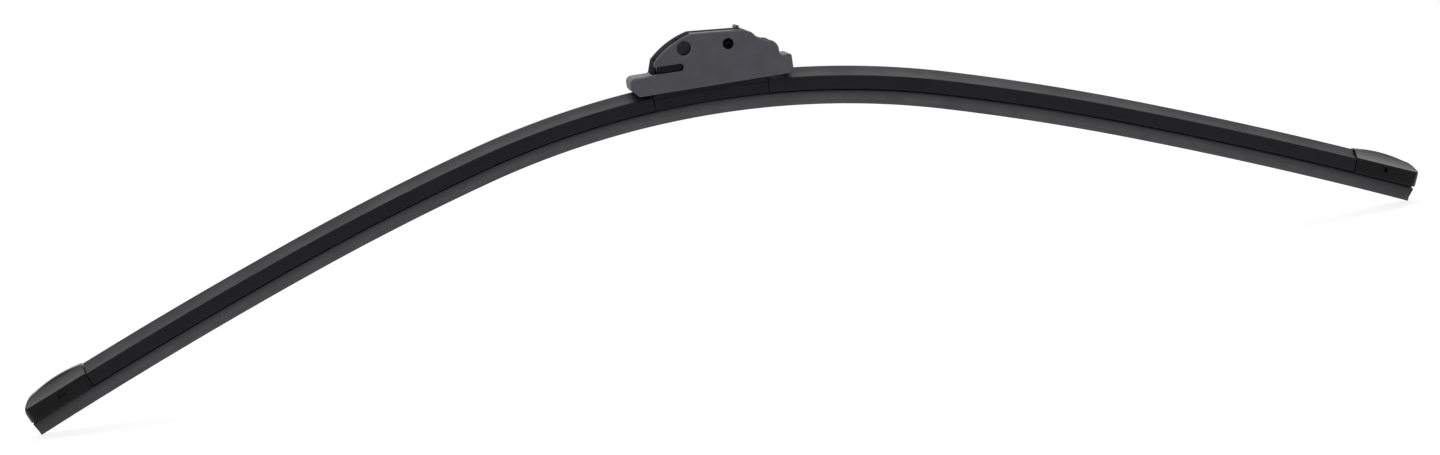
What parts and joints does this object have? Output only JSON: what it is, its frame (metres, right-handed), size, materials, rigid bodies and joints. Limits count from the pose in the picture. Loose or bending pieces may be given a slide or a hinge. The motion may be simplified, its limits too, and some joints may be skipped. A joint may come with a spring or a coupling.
{
  "type": "wiper blade",
  "caption": "Bowed frameless wiper blade: sprung rails carry a wiping rubber, spoilers, end caps and a connector with a rocking hook adapter and a hinged lock cap.",
  "frame": {"origin": "middle of the pivot pin, on its axis", "axes": "+X along the blade, +Y across it towards the lee side, +Z away from the glass"},
  "size_m": [0.6222, 0.0192, 0.1264],
  "materials": {
    "wiping_rubber": "matte, graphite coated",
    "spoiler_rubber": "satin",
    "spring_steel": "blackened",
    "black_plastic": "satin",
    "coated_zinc": "black powder coat",
    "charcoal_plastic": "fine matte grain",
    "pin_steel": "ground"
  },
  "bodies": {
    "blade": {"wiper_rubber": "wiping_rubber", "spoiler_left": "spoiler_rubber", "spoiler_right": "spoiler_rubber", "spring_rail_front": "spring_steel", "spring_rail_rear": "spring_steel", "end_cap_left": "black_plastic", "end_cap_right": "black_plastic", "base_clamp": "coated_zinc", "connector_housing": "charcoal_plastic", "pivot_pin": "pin_steel"},
    "adapter": {"hook_adapter": "black_plastic"},
    "lid": {"lock_cap": "charcoal_plastic"}
  },
  "joints": [
    {"name": "adapter_rock", "type": "hinge", "parent": "blade", "child": "adapter", "pos_m": [0, 0, 0], "axis": [0, 1, 0], "range_deg": [-10, 10]},
    {"name": "lock_cap_open", "type": "hinge", "parent": "blade", "child": "lid", "pos_m": [0.027, 0, 0.0021], "axis": [0, 1, 0], "range_deg": [0, 100]}
  ]
}
